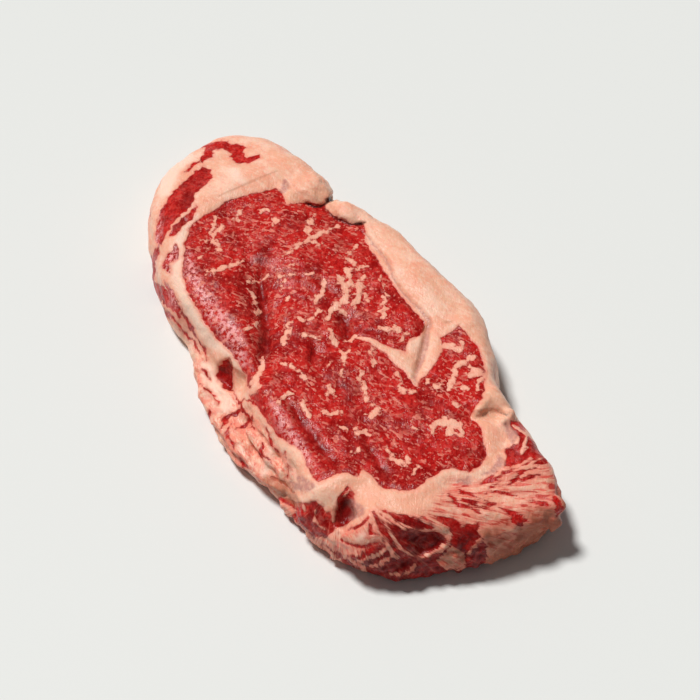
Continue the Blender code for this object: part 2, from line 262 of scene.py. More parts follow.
def streaks(uv):
    """The larger seams of marbling in the eye and the cap."""
    strokes = (
        ((-40, 26, 0.8), (-39, 15, 1.2), (-38, 8, 1.2), (-36, 1, 0.5)),
        ((-46.5, 18, 0.7), (-43, 15.5, 1.0), (-39, 13.5, 0.8)),
        ((-49, 21.5, 0.6), (-45.5, 18, 0.7)),
        ((-38, 14, 0.5), (-34.5, 14.5, 0.5), (-33.5, 17, 0.4)),
        ((-24.5, 21, 0.6), (-21, 22.3, 0.7), (-17, 22, 0.7)),
        ((-16, 26.5, 0.7), (-17, 22, 0.9), (-18, 18, 0.9)),
        ((-27.5, 27, 0.6), (-25, 23.5, 0.7)),
        ((-18, 18, 1.0), (-13, 16, 1.2), (-9, 12.5, 1.5), (-5.5, 9, 1.4), (-2, 6, 0.6)),
        ((-17, 13.8, 0.9), (-13, 13.5, 1.0), (-10, 13, 1.0)),
        ((-11, 19, 1.1), (-7, 17, 1.3), (-4, 13.5, 1.2), (-1, 11.5, 0.8)),
        ((-12, 22.5, 0.9), (-9.5, 19, 0.8)),
        ((-6, 6.5, 1.1), (-4, 3, 1.3), (-1.5, 0, 0.9)),
        ((-4, 7.5, 0.9), (0, 6.5, 0.4)),
        ((-5, 18, 0.6), (-1, 17.3, 0.3)),
        ((-17, 7.5, 0.8), (-13.5, 4, 1.2), (-11, 0.5, 1.0)),
        ((-10, 28, 0.3), (-7, 25.5, 0.5), (-2, 25, 0.5), (1, 26, 0.3)),
        ((0.5, 23.5, 0.6), (4, 21, 0.9), (8, 18, 0.9)),
        ((20, 21, 0.7), (16, 19.5, 0.9), (12.5, 15, 0.8)),
        ((3, -1, 0.7), (8, -3.3, 0.9), (15.5, -3.2, 0.6)),
        ((5.5, -7.5, 0.6), (1.5, -11, 0.7)),
        ((-6.5, -12.5, 0.7), (-3, -16, 1.2), (0, -19.5, 1.0)),
        ((-6.5, -1, 0.5), (-4.5, -5, 0.7), (-7, -9, 0.5)),
        ((-29, -19, 0.4), (-25, -18.5, 0.9), (-20, -20, 0.6), (-15, -22, 0.6)),
        ((-31, -9, 0.4), (-30, -13, 0.7), (-32, -17, 0.4)),
        ((-12.5, -23, 0.4), (-11.5, -26, 0.9), (-12, -29, 0.4)),
        ((-42, -13.5, 0.8), (-42, -20, 0.8), (-44, -28, 1.0)),
        ((-61.5, -12, 0.9), (-61, -17, 0.8), (-56, -18.5, 0.7), (-52, -19.5, 0.8)),
        ((-60, -22, 0.3), (-57, -21, 0.5), (-53, -24, 0.4), (-52, -28, 0.3)),
        ((-68, -12, 0.7), (-64, -14, 0.6), (-62, -18, 0.5)),
        ((-52.5, 9, 0.4), (-53.5, 6.8, 1.6), (-52.8, 6, 0.9)),
        ((-62, 4, 0.8), (-60.5, 7, 0.5)),
        ((25, -1, 0.4), (31, -4, 0.8), (37, -6, 0.8), (42, -6.3, 0.7)),
        ((44, -5, 1.2), (45.5, -7, 1.6), (44.5, -9, 0.8)),
        ((16, -1, 0.8), (18, -4, 1.1), (22, -6, 0.5), (24, -9, 0.5)),
        ((17, -8.5, 0.7), (19, -11, 0.5)),
        ((26.5, -14.5, 0.7), (28.5, -15.3, 1.1), (31, -15.8, 0.6)),
        ((39.5, -16.5, 0.4), (38.5, -19.5, 0.9), (36, -22.3, 0.7)),
        ((52, -12.5, 1.0), (49, -16.5, 0.8), (44, -20, 0.4)),
        ((54, -17.5, 0.4), (55.5, -20, 0.7), (56, -24, 0.4)),
        ((59.5, 8, 1.0), (60.5, 12.5, 2.0), (64, 16, 1.7), (69, 14.5, 0.7)),
        ((59.5, 9, 1.2), (62, 6.5, 0.8)),
        ((63, 14, 1.8), (66, 12, 0.8)),
        ((60, -10.5, 0.6), (64, -11.5, 0.9), (68.5, -8.5, 1.3), (66, -6.8, 0.7)),
        ((9, -24, 0.8), (13.5, -21.8, 0.7), (20, -20.8, 0.5)),
        ((22, -28.5, 0.9), (22.5, -31, 0.7), (23.5, -35, 0.6)),
        ((27, -26, 0.5), (30, -28, 0.9), (34.5, -27.5, 0.5)),
        ((32, 9.5, 0.4), (36, 8.3, 0.6), (41, 7, 0.7), (44, 9.5, 0.9)),
        ((3, -29, 0.8), (8, -34, 1.2), (14, -40, 1.6)),
        ((12, 1, 0.5), (11, 5, 0.6)),
        ((41, 38, 0.8), (41, 31, 1.1), (44.5, 26, 1.3), (48.5, 22.5, 1.1)),
        ((44, 34, 0.7), (47.5, 35, 1.6), (47.5, 31.5, 1.3)),
        ((49, 25, 0.6), (52, 27.5, 0.6)),
        ((32.5, 37, 0.4), (35.5, 35.5, 0.9), (31.5, 31, 1.0)),
        ((50, 36, 0.6), (51, 33, 0.6), (54.5, 30.5, 0.4)),
        ((55, 19, 0.4), (58, 21, 0.5)),
        ((46, 19, 0.9), (47.5, 18, 0.9)),
        ((41, 18, 0.5), (43, 17, 0.6)),
        ((54.5, 3.5, 0.5), (56.5, 1.5, 0.8), (58, 2.5, 0.4)),
        ((18, 7, 0.4), (22, 5, 0.7), (26, 3.5, 0.6)),
        ((71, -5, 0.3), (74, -8, 0.5)),
        ((19, 20, 0.8), (21, 18.5, 0.9)),
        ((-30, -5, 0.5), (-26, -5.3, 0.5), (-22, -8.5, 0.6)),
        ((-31, 1, 0.4), (-30.5, -2, 0.5)),
        ((-26, 0, 0.4), (-27, -3, 0.6)),
        ((-24, 4, 0.6), (-23, 6, 0.3)),
        ((-18, -6, 0.6), (-17, -9, 0.4)),
        ((-65, -2, 0.3), (-62, -6, 0.6)),
        ((-55, -3, 0.3), (-57, -7, 0.5)),
        ((-33, 4, 0.2), (-29, 1, 0.3)),
    )
    return union(*[line(uv, *stroke) for stroke in strokes])


# strokes that both the relief and the marks use: x, y, half width
SILVER_LINE = ((-31, 33.6, 0.3), (-22, 33.4, 0.5), (-16, 33.6, 0.7), (-12, 33, 0.6), (-6, 31.3, 0.4),
               (0, 30.6, 0.3), (6, 30.9, 0.4), (12, 32, 0.5), (18, 32.2, 0.6), (20, 31, 0.7),
               (24, 27.5, 1.1), (29, 23.5, 1.5), (34, 18.5, 1.1), (38.5, 13.8, 0.7), (41, 12.6, 0.3))
CRACKS = (
    ((-56.5, 21.6, 0.3), (-53.5, 23, 0.7), (-52, 25, 0.6), (-52.3, 27.8, 0.5), (-53.6, 30.5, 1.0),
     (-54, 35, 1.0)),
    ((-50, 26.8, 0.15), (-44, 27.3, 0.25), (-40, 29.6, 0.5), (-37.5, 31.5, 0.3), (-36.2, 34.5, 0.8),
     (-35.6, 36.5, 0.2)),
)
TAIL_STRANDS = (
    ((78, -26.8, 0.8), (85, -24.8, 0.7), (91, -22.5, 0.65), (94.5, -17.5, 0.6), (97, -13.2, 0.6)),
    ((79, -27.3, 0.7), (86, -26.3, 0.65), (93, -27.6, 0.6), (99.5, -27, 0.65), (103.5, -23, 0.6)),
    ((80, -29.3, 0.8), (87, -30.3, 0.75), (94, -30.8, 0.65), (99, -31, 0.6)),
    ((89, -16.8, 0.6), (93.5, -13, 0.65), (98, -11.6, 0.8), (103, -12.2, 0.8), (104.6, -17, 0.8),
     (103.6, -23, 0.7)),
)
TAIL_SEAM = ((62, 23.5, 0.3), (64.5, 29, 0.5), (67, 32, 0.9), (69, 34, 1.2))


def veils(uv):
    """Thin grey membrane that shows the lean or the gristle beneath it."""
    return union(
        line(uv, (72, 31, 0.8), (76.5, 30.5, 2.0), (80, 28.5, 0.6)),
        line(uv, (82, 21.5, 0.6), (85, 20.5, 1.6), (86.3, 15.5, 1.0), (86, 12, 0.3)),
        line(uv, (84.5, 7.5, 0.8), (85.8, 6, 1.4), (84, 3.5, 0.8)),
        line(uv, (-71, 20, 1.0), (-68, 19, 1.6), (-66.5, 16.5, 1.0)),
        line(uv, (73, -33, 1.5), (77, -32, 2.2), (78.5, -36, 1.2)),
        line(uv, (56, -43, 1.4), (60, -42, 2.0), (58, -46, 1.4), (54, -48, 0.6)),
        line(uv, (84, -45, 0.4), (88, -42.5, 0.8), (91, -42, 0.2)),
    )


# ---- the visual mesh ----

def tube(mesh, route):
    """Adds a row of balls through the stops x, y, z, radius, as stock for the fused mesh."""
    stops = []
    for a, b in zip(route, route[1:]):
        stops += [np.array(a) + (np.array(b) - np.array(a)) * k / TUBE_STEPS for k in range(TUBE_STEPS)]
    stops.append(np.array(route[-1], float))
    for stop in stops:
        ball = bmesh.ops.create_icosphere(mesh, subdivisions=2, radius=stop[3] * MM)
        bmesh.ops.translate(mesh, verts=ball["verts"], vec=Vector((stop[:3] - CENTRE) * MM))


# routes of the small folds that are added to the solid: x, y, z, radius
FOLDS = (
    # the curled edge where the cap muscle ends
    ((57.5, 35, 24, 3.0), (59.5, 30.5, 25.6, 2.6), (61.8, 26.5, 26.4, 2.0), (62.8, 24.3, 26.6, 1.2)),
    ((68, 35, 24, 2.4), (70, 31.5, 25.2, 1.6)),
    # the two lobes that hang over the crack in the fat cap
    ((-68, 29, 20.5, 4.0), (-62, 27, 23.0, 3.6), (-58, 25.5, 23.6, 3.0), (-56, 24.8, 23.4, 2.4)),
    ((-52, 31.5, 23.4, 2.4), (-47, 31.0, 24.4, 2.4), (-42, 32.5, 24.6, 2.4), (-39, 34.5, 24.2, 2.2)),
    # the folds of the loose flap
    ((-18, -46, 7.5, 2.6), (-6, -49.5, 8.5, 3.2), (8, -51, 8.0, 3.4), (22, -50.5, 8.4, 3.4),
     (36, -48.5, 9.0, 3.0), (46, -45.5, 8.5, 2.6)),
    ((22, -45, 13.6, 2.0), (32, -45.5, 13.8, 2.4), (42, -44.0, 13.0, 2.2), (50, -42, 11.0, 2.0)),
    ((44, -46.5, 5.0, 2.6), (52, -45.5, 5.0, 3.0), (58, -45, 4.0, 2.4)),
    # the pillar and the shreds by the hollow corner
    ((60, -36.5, 21.5, 3.0), (58.5, -41, 15.5, 2.8), (57.5, -43.5, 9.0, 2.4)),
    ((77, -33, 21.0, 1.2), (76.5, -37.5, 16.0, 1.4), (76, -41.0, 9.0, 1.5), (77, -42, 4.0, 1.6)),
    ((81.5, -35, 16.5, 3.6), (82.5, -36, 13.0, 3.6)),
    # the tip of the tail
    ((105, 29, 19, 4.0), (108, 28, 15, 2.6), (109.5, 26.5, 12.5, 1.4)),
)


def baked(steak):
    """Replaces an object's mesh by what its modifiers make of it."""
    graph = bpy.context.evaluated_depsgraph_get()
    data = bpy.data.meshes.new_from_object(steak.evaluated_get(graph))
    steak.modifiers.clear()
    steak.data = data


def fuse(steak, relax):
    """Makes one even closed mesh of everything in the object."""
    cells = steak.modifiers.new("fuse", "REMESH")
    cells.mode = "VOXEL"
    cells.voxel_size = VOXEL * MM
    steak.modifiers.new("relax", "SMOOTH").iterations = relax
    baked(steak)


def stock_mesh():
    """The solid with its small folds added."""
    mesh = bmesh.new()
    mesh.from_mesh(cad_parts["steak"].data)
    bmesh.ops.remove_doubles(mesh, verts=mesh.verts, dist=0.001 * MM)
    for route in FOLDS:
        tube(mesh, route)
    data = bpy.data.meshes.new("raw_steak")
    mesh.to_mesh(data)
    mesh.free()
    steak = bpy.data.objects.new("raw_steak", data)
    bpy.context.scene.collection.objects.link(steak)
    fuse(steak, 4)
    return steak


def thin_underside(steak):
    """Leaves a coarser mesh on the flat underside, which lies on the board."""
    points, normals = read_points(steak.data), read_normals(steak.data)
    flat = np.flatnonzero((points[:, 2] < 0.01) & (normals[:, 2] < -0.999))
    group = steak.vertex_groups.new(name="underside")
    group.add(flat.tolist(), 1.0, "REPLACE")
    thin = steak.modifiers.new("thin", "DECIMATE")
    thin.vertex_group = "underside"
    thin.ratio = 1 - (1 - UNDERSIDE_SHARE) * len(flat) / len(points)
    baked(steak)
    steak.vertex_groups.clear()


def read_points(data):
    co = np.zeros(len(data.vertices) * 3, np.float32)
    data.vertices.foreach_get("co", co)
    return co.reshape(-1, 3).astype(float) / MM + CENTRE


def read_normals(data):
    return np.array([n.vector[:] for n in data.vertex_normals])


def write_points(data, points):
    data.vertices.foreach_set("co", ((points - CENTRE) * MM).astype(np.float32).ravel())
    data.update()


def settled(points):
    """Points with everything just above the board laid flat on it."""
    z = points[:, 2]
    points[:, 2] = np.where(z < LAID_FLAT_BELOW, 0.0, z)
    return points


def outward(points):
    """Plan direction away from the steak's long middle line."""
    middle = np.stack([np.clip(points[:, 0], *MIDDLE_SPAN), np.zeros(len(points))], axis=1)
    away = points[:, :2] - middle
    return away / (np.linalg.norm(away, axis=1, keepdims=True) + 1.0)


def unrolled(points):
    """Plan places, with the sides unrolled outwards from under the rim."""
    plan, z = points[:, :2], points[:, 2]
    depth = FACE_Z - z
    seen = SEEN_SLOPE - SEEN_DRIFT * plan
    away = outward(points)
    facing = smooth(-0.35, 0.1, away @ TO_CAMERA)[:, None]
    shoulder = np.minimum(depth, SHOULDER_DEPTH)[:, None]
    unseen = seen * shoulder + away * UNSEEN_SLOPE * (depth[:, None] - shoulder)
    below = smooth(0.9, 0.1, z)[:, None]
    return plan + (facing * seen * depth[:, None] + (1 - facing) * unseen) * (1 - below)


def store(data, name, values):
    """Keeps one number or one vector for each vertex, for the material to read."""
    kind = "FLOAT" if values.ndim == 1 else "FLOAT_VECTOR"
    layer = data.attributes.new(name, kind, "POINT")
    entry = "value" if values.ndim == 1 else "vector"
    layer.data.foreach_set(entry, values.astype(np.float32).ravel())


def tissue(points, normals):
    """The surface's regions: signed distances in mm and soft masks."""
    t = {"uv": unrolled(points)}
    uv = t["uv"]
    t["top"] = smooth(0.35, 0.8, normals[:, 2])
    t["side"] = (1 - t["top"]) * (1 - smooth(1.5, 0.2, points[:, 2]))
    # uneven drawing: the drawn shapes wander a little
    t["wander"] = np.stack([wave(points, 7.0, 1), wave(points, 7.0, 2)], axis=1)
    t["jitter"] = np.stack([wave(points, 2.2, 3), wave(points, 2.2, 4)], axis=1)
    calm = uv + 0.5 * t["wander"] + 0.30 * t["jitter"]
    wild = uv + 0.6 * t["wander"] + 0.60 * t["jitter"]

    t["eye"] = eye_and_cap(calm)
    marbling = streaks(wild) + 0.05
    scraps = union(far_lean(wild), near_lean(calm), flap_lean(wild))
    lean = union(t["eye"], np.minimum(scraps, -near_fat(calm)))
    fat = union(-lean, np.minimum(marbling, 3.0))
    t["fray"] = hump(np.minimum(marbling + 2.0, t["eye"] - 2.0), 1.5)

    # the hidden sides: lean shows through the fat cover in long low patches
    hidden = smooth(0.1, -0.3, outward(points) @ TO_CAMERA) * smooth(24, 20, points[:, 2]) * t["side"]
    lowlands = wave(points, 15.0, 5, (0.6, 0.6, 1.5)) * 3.0 + 1.4
    t["fat"] = fat * (1 - hidden) + np.clip(lowlands, -3, 3) * hidden

    t["lump"] = patch(calm, (81.5, -31), (88, -31), (91.5, -34), (88.5, -40), (83.5, -42))
    # how far a place belongs to the fibrous tail, and the torn corner and end wall
    t["tail"] = hump(patch(uv, (82, 2), (88, 10), (89, 34), (100, 44), (130, 40), (130, -60), (60, -60),
                           (62, -40), (79, -29), (86, -24), (90, -12), (86, -5)), 2.5)
    past_hollow = smooth(10, 24, np.linalg.norm(uv - FAN_CENTRE, axis=1))
    t["tail"] *= past_hollow * (1 - 0.8 * hump(t["lump"] + 1, 2.0))
    t["torn"] = hump(patch(uv, (58, -44), (66, -31), (80, -26), (88, -14), (94, -11), (101, -9),
                           (101.5, 2), (130, 0), (130, -60), (60, -60)), 2.0)
    t["valleys"] = union(
        line(calm, (-34, -11, 0.4), (-20, -17, 1.0), (-9, -21.5, 1.2), (0, -27, 1.2), (6, -33, 0.4)),
        line(calm, (0, 5, 0.3), (8, 3, 1.2), (15, -1, 0.3)),
        line(calm, (5, -10, 0.5), (14, -14, 1.0), (22, -15, 0.3)),
        line(calm, (24, -31, 0.4), (36, -31, 1.2), (55, -30, 0.8)),
        line(calm, (46, -12, 0.3), (58, -16, 0.8), (70, -17, 0.4)),
        line(calm, (-20, 6, 0.2), (-12, 8, 0.6), (-8, 4, 0.2)),
    )
    t["silver"] = line(uv + 0.25 * t["jitter"], *SILVER_LINE)
    t["cracks"] = union(*[line(uv + 0.4 * t["jitter"], *route) for route in CRACKS])
    t["hollow"] = patch(calm, (70, -33.5), (73, -33), (78, -34.5), (80.3, -40.3), (77, -41.5), (71.5, -37))
    t["cleft"] = patch(calm, (-3, -40.7), (3, -41.8), (11, -45.6), (9, -47.4), (0, -47), (-2.5, -44))
    t["glossy"] = patch(calm, (94, -19), (97, -14), (102.5, -13.2), (103.3, -18), (102.3, -23), (96, -23))
    t["flap"] = hump(patch(uv, (-9, -46.5), (0, -48), (12, -46.5), (22, -44.5), (36, -43.5), (52, -43),
                           (62, -50), (62, -66), (-9, -66)), 1.5)
    t["knobs"] = hump(patch(uv, (-72, 15), (-62, 17), (-56, 21), (-40, 27), (-34, 33), (-34, 44),
                            (-60, 44), (-74, 30)), 3.0)
    return t


def fan(uv, points):
    """Places along, across and below the fibres of the tail, which spread from the hollow corner."""
    spread = uv - FAN_CENTRE
    reach = np.linalg.norm(spread, axis=1)
    angle = np.arctan2(spread[:, 1], spread[:, 0])
    return np.stack([reach, angle * FAN_RADIUS, points[:, 2]], axis=1)


def relief(steak):
    """Presses the fine relief into the mesh."""
    points, normals = read_points(steak.data), read_normals(steak.data)
    t = tissue(points, normals)
    uv, top, side = t["uv"], t["top"], t["side"]
    is_fat = hump(t["fat"], 0.8)
    fibre = wave(rotated(points, -35), 4.0, 6, (0.35, 1.6, 1))
    pits = wave(points, 2.6, 7)
    swell = wave(points, 11.0, 8)
    long_folds = wave(rotated(points, 8), 5.0, 9, (0.3, 1.3, 1.3))
    fan_folds = wave(fan(uv, points), 3.0, 10, (0.18, 1.0, 0.2))
    bends = points + 2.4 * np.stack([t["wander"][:, 0], t["wander"][:, 1], swell], axis=1)
    creases = 1 - np.abs(wave(rotated(bends, -8), 6.0, 11, (0.42, 1.0, 0.9))) - CREASE_LEVEL
    fine_creases = 1 - np.abs(wave(rotated(bends, -25), 3.4, 13, (0.40, 1.0, 1.0))) - CREASE_LEVEL
    cap_lines = wave(rotated(points, 4), 3.0, 12, (0.2, 1.0, 1.0))

    push = (0.20 + 0.25 * side) * swell
    push += (1 - is_fat) * (0.24 * fibre + 0.20 * pits)
    push += is_fat * (0.10 * cap_lines + 0.08 * pits + 0.15)
    push += is_fat * side * (1 - t["flap"]) * (0.35 * long_folds + 0.15 * pits)
    push += t["flap"] * (1.8 * creases + 0.7 * fine_creases + 0.10 * pits)
    push += t["knobs"] * is_fat * (0.9 * creases + 0.5 * fine_creases)
    push += t["tail"] * (0.40 * fan_folds + 0.12 * pits)
    push += t["torn"] * side * (0.9 * fine_creases + 0.25 * pits)
    push += smooth(100, 106, uv[:, 0]) * side * (1.0 * creases + 0.3 * pits)
    push += 0.6 * creases * hump(line(uv, (66, 31, 2.0), (75, 33, 3.0)), 2.0)
    silver_rim = hump(t["silver"] + 2.2, 1.2) * smooth(29, 34, uv[:, 1]) * (1 - hump(t["silver"], 0.9))
    push -= VALLEY_DEPTH * hump(t["valleys"], 2.2)
    push -= SILVER_DEPTH * hump(t["silver"], 0.8)
    push += SILVER_RIM_HEIGHT * silver_rim
    push -= CRACK_DEPTH * hump(t["cracks"], 0.6)
    push -= TAIL_SEAM_DEPTH * hump(line(uv, *TAIL_SEAM), 0.8)
    push -= HOLLOW_DEPTH * hump(t["hollow"], 1.5)
    push -= CLEFT_DEPTH * hump(t["cleft"], 1.2)
    push -= GLOSSY_DEPTH * hump(t["glossy"], 1.2)
    push += LUMP_HEIGHT * hump(t["lump"], 1.5)
    push -= EYE_EDGE_DEPTH * np.exp(-((t["eye"] / EYE_EDGE_WIDTH) ** 2)) * top
    push += STRAND_HEIGHT * hump(union(*[line(uv, *strand) for strand in TAIL_STRANDS]), 0.6)
    push *= 1 - smooth(2.5, 0.3, points[:, 2])
    write_points(steak.data, settled(points + normals * push[:, None]))


def mark(steak):
    """Stores where each tissue is, and where shade and sheen are painted, for the material."""
    data = steak.data
    points, normals = read_points(data), read_normals(data)
    t = tissue(points, normals)
    uv, wander, jitter = t["uv"], t["wander"], t["jitter"]
    soft = uv + 0.5 * wander
    # painted sheen: a pale pink band along the -Y flank of the eye, where the key light's wet highlight
    # falls
    sheen_band = union(
        line(soft, (-64, -33, 1.0), (-58, -37, 2.4), (-50, -42, 1.6), (-36, -46, 1.4)),
        line(soft, (-82, -30, 0.8), (-74, -35, 1.4), (-66, -38.5, 1.0)),
        line(soft, (-58, -30, 0.5), (-45, -34, 2.6), (-25, -35, 3.2), (-8, -34.5, 2.8), (2, -37, 1.0)),
        line(soft, (22, -36, 0.6), (34, -37, 2.2), (46, -36.5, 1.6), (54, -37, 0.6)),
    )
    # painted shade, with some darker lean at the corner: the lean is darkened along the pressed valleys,
    # in the cleft above the flap, in the pits by the corner and over the end wall, which faces away from
    # the key light
    shade_and_dark_lean = union(
        line(uv, (-32, -12, 0.5), (-20, -17, 1.6), (-9, -21.5, 1.8), (0, -27, 1.6), (6, -33, 0.6)),
        line(uv, (-46, -4, 1.0), (-40, -8, 2.4)),
        line(uv, (0, 5, 0.5), (8, 3, 2.5), (15, -1, 0.5)),
        line(uv, (5, -10, 1.0), (12, -14, 1.5)),
        line(uv, (24, -31, 0.8), (36, -31, 1.8), (55, -30, 1.4)),
        line(uv, (-84, -16, 1.6), (-78, -20, 1.0)),
        line(uv, (28, -10, 0.5), (36, -12, 1.5)),
        line(uv, (48, -17, 0.5), (70, -17, 1.2)),
        line(uv, (0, -46.5, 1.0), (8, -46.8, 1.5)),
        t["glossy"] + 1.0,
        patch(uv, (84, -23), (90, -15), (97, -13), (103, -13), (104, -24), (98, -29), (86, -28)) - 1.0,
        patch(uv, (101, -4), (104, 2), (112, 6), (122, 0), (118, -30), (100, -48), (92, -46), (95, -32),
              (104, -26)),
    )
    # painted shade: near black in the pressed cracks of the fat cap and in a thin line by the curled fold
    crack_shade = union(t["cracks"], line(uv, (66, 31.5, 0.1), (69, 33.5, 0.3)))
    # cream seams of fat, and two painted highlights: on the far fat near (-82, 5) and on the lump at the
    # corner near (86, -36)
    cream_and_highlight = union(
        line(uv, (-72, -19, 1.0), (-66, -28, 1.6), (-58, -35, 2.0), (-48, -39.5, 2.0), (-34, -42, 2.2),
             (-12, -42.5, 1.8), (-4, -39, 0.8), (6, -39, 0.8)),
        line(uv, (-102, -8, 3.0), (-100, -16, 4.0), (-90, -24, 3.0)),
        line(uv, (40, -46, 0.8), (44, -49, 1.5), (48, -53, 1.0)),
        line(uv, (-86, 5, 2.0), (-82, 4, 2.0), (-78, 6, 1.0)),
        line(uv, (86, -35, 0.8), (87, -38, 1.2)),
        line(uv, (-4, -49, 2.0), (5, -51, 3.5), (16, -51.5, 2.5)),
    )
    brown = union(
        line(uv, (-77.5, 20, 0.2), (-77.3, 6, 0.5), (-76.8, -6, 0.3)),
        line(uv, (23, 39, 0.4), (22, 37, 0.6)),
        line(uv, (20, 29.6, 0.5), (24, 26.0, 0.6), (29, 21.8, 0.65), (34, 17, 0.6), (38, 13, 0.4)),
        line(uv, (50, -53, 1.5), (56, -50, 3.0), (64, -49, 1.5)),
    )
    band = line(uv, (64, -33, 3.0), (72, -24, 5.0), (82, -17, 5.0), (85, -6, 5.0))
    store(data, "fat", np.clip(t["fat"], -4, 4))
    store(data, "fray", t["fray"])
    store(data, "eye", hump(t["eye"], 1.0))
    # painted sheen on the lower flank of the eye
    store(data, "painted_sheen", hump(sheen_band, 2.0))
    store(data, "shade_and_dark_lean", hump(shade_and_dark_lean, 2.4))
    store(data, "crack_shade", hump(crack_shade, 0.5))
    # painted shade in the pressed hollow at the corner
    store(data, "pocket", hump(t["hollow"], 1.5))
    veil = np.maximum(0.9 * hump(t["silver"], 0.5), hump(veils(uv + 0.3 * jitter), 0.5))
    store(data, "veil", veil)
    store(data, "cream_and_highlight", hump(cream_and_highlight, 1.6))
    store(data, "brown", hump(brown, 0.7))
    store(data, "rosy", np.maximum(t["flap"], hump(t["lump"] + 1, 1.5)))
    store(data, "band", hump(band, 5.0))
    store(data, "torn", t["torn"])
    # painted shade: the end wall at +X is darker below 20 mm, where it faces away from the key light
    store(data, "end", smooth(102, 107, uv[:, 0]) * smooth(25, 20, points[:, 2]))
    store(data, "fan", fan(uv, points))
    store(data, "side", t["side"])
    store(data, "place", points)
    store(data, "turn", smooth(-18, 26, points[:, 0] + 6 * wander[:, 0]))
    store(data, "tail", t["tail"])


# ---- the material ----

class Shade:
    """Short ways to add nodes to one material."""

    def __init__(self, name):
        self.material = bpy.data.materials.new(name)
        self.material.use_nodes = True
        self.tree = self.material.node_tree
        self.surface = self.tree.nodes["Principled BSDF"]

    def set(self, socket, value):
        if isinstance(value, bpy.types.NodeSocket):
            self.tree.links.new(value, socket)
        else:
            socket.default_value = value

    def read(self, name, vector=False):
        node = self.tree.nodes.new("ShaderNodeAttribute")
        node.attribute_name = name
        return node.outputs["Vector" if vector else "Fac"]

    def math(self, operation, a, b=0.0):
        node = self.tree.nodes.new("ShaderNodeMath")
        node.operation = operation
        self.set(node.inputs[0], a)
        self.set(node.inputs[1], b)
        return node.outputs[0]

    def add(self, a, b):
        return self.math("ADD", a, b)

    def mul(self, a, b):
        return self.math("MULTIPLY", a, b)

    def step(self, value, low, high, to_low=0.0, to_high=1.0):
        """A soft step; low may be above high, and the step then goes down as the value rises."""
        node = self.tree.nodes.new("ShaderNodeMapRange")
        node.interpolation_type = "SMOOTHSTEP"
        entries = {"Value": value, "From Min": low, "From Max": high, "To Min": to_low, "To Max": to_high}
        for key, entry in entries.items():
            self.set(node.inputs[key], entry)
        return node.outputs["Result"]

    def mix(self, share, a, b):
        """Between two colours."""
        node = self.tree.nodes.new("ShaderNodeMix")
        node.data_type = "RGBA"
        self.set(node.inputs["Factor"], share)
        self.set(node.inputs["A"], a)
        self.set(node.inputs["B"], b)
        return node.outputs["Result"]

    def blend(self, share, a, b):
        """Between two numbers."""
        node = self.tree.nodes.new("ShaderNodeMix")
        self.set(node.inputs["Factor"], share)
        self.set(node.inputs["A"], a)
        self.set(node.inputs["B"], b)
        return node.outputs["Result"]

    def along(self, vector, turn=0.0, stretch=(1, 1, 1), shift=(0, 0, 0)):
        """Coordinates in which a pattern is drawn out along the direction turn, in degrees."""
        node = self.tree.nodes.new("ShaderNodeMapping")
        node.vector_type = "TEXTURE"
        self.set(node.inputs["Vector"], vector)
        node.inputs["Rotation"].default_value = (0, 0, np.radians(turn))
        node.inputs["Scale"].default_value = stretch
        node.inputs["Location"].default_value = shift
        return node.outputs["Vector"]

    def noise(self, vector, scale, detail=2.0, rough=0.5, bend=0.0):
        node = self.tree.nodes.new("ShaderNodeTexNoise")
        self.set(node.inputs["Vector"], vector)
        node.inputs["Scale"].default_value = scale
        node.inputs["Detail"].default_value = detail
        node.inputs["Roughness"].default_value = rough
        node.inputs["Distortion"].default_value = bend
        return node.outputs["Fac"]


# linear colours
LEAN_RED = (0.50, 0.009, 0.007, 1)
LEAN_DEEP = (0.27, 0.002, 0.002, 1)
LEAN_BRIGHT = (0.74, 0.060, 0.044, 1)
# painted sheen: the pale pink of the lean's wet highlight
LEAN_SHEEN = (0.92, 0.40, 0.38, 1)
# painted shade on the lean, in valleys, hollows and on the end wall
LEAN_SHADE = (0.13, 0.001, 0.001, 1)
FAT_TAN = (0.84, 0.43, 0.28, 1)
FAT_PALE = (0.93, 0.56, 0.41, 1)
FAT_ROSE = (0.82, 0.24, 0.17, 1)
FAT_ORANGE = (0.87, 0.40, 0.26, 1)
# painted shade on the fat of the end wall
FAT_PAINTED_SHADE = (0.40, 0.11, 0.06, 1)
FAT_CREAM = (0.93, 0.64, 0.50, 1)
STREAK_FAT = (0.88, 0.44, 0.31, 1)
FLECK = (0.80, 0.25, 0.18, 1)
VEIL = (0.52, 0.22, 0.18, 1)
BROWN = (0.42, 0.17, 0.09, 1)
# painted shade in cracks
HOLE_SHADE = (0.05, 0.008, 0.006, 1)
FAR_GRAIN = 40       # degrees: how the marbling runs in the far half of the eye
NEAR_GRAIN = 18      # and in the near half
FIBRE_GRAIN = -38    # how the lean's fibres run
SPECULAR = 0.15
COAT = 0.05
COAT_ROUGHNESS = 0.12
LEAST_ROUGHNESS = 0.17
SUBSURFACE = 0.15
SUBSURFACE_REACH = (1.0, 0.35, 0.22)
SUBSURFACE_SCALE = 1.5 * MM
BUMP_STRENGTH = 0.6
BUMP_DISTANCE = 0.5 * MM


